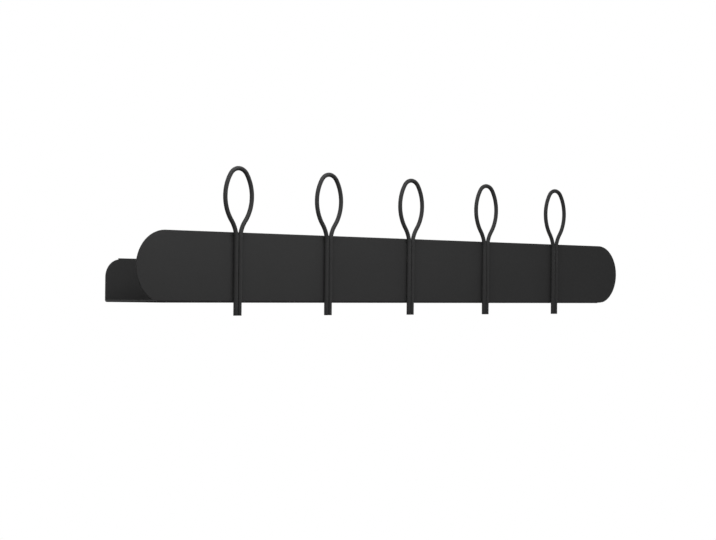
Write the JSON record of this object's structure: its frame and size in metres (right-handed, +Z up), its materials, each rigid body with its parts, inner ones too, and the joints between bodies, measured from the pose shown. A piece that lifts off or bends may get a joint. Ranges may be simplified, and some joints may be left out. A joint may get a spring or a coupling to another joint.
{
  "type": "wall shelf with coat hooks",
  "caption": "Long black wall shelf: a folded steel sheet with a round-ended front panel and a shallow tray behind it, and bent wire hooks with teardrop loops along the front.",
  "frame": {"origin": "on the wall plane, midway between the centres of the two keyhole entries in the back", "axes": "+X along the shelf, to the right as seen from the room; +Y into the wall; +Z up"},
  "size_m": [0.9, 0.0655, 0.1805],
  "materials": {
    "sheet_coat": "matt black powder coat on steel sheet",
    "wire_coat": "matt black powder coat on steel wire"
  },
  "bodies": {
    "root": {"folded_shelf": "sheet_coat", "hook_1": "wire_coat", "hook_2": "wire_coat", "hook_3": "wire_coat", "hook_4": "wire_coat", "hook_5": "wire_coat"}
  },
  "joints": []
}
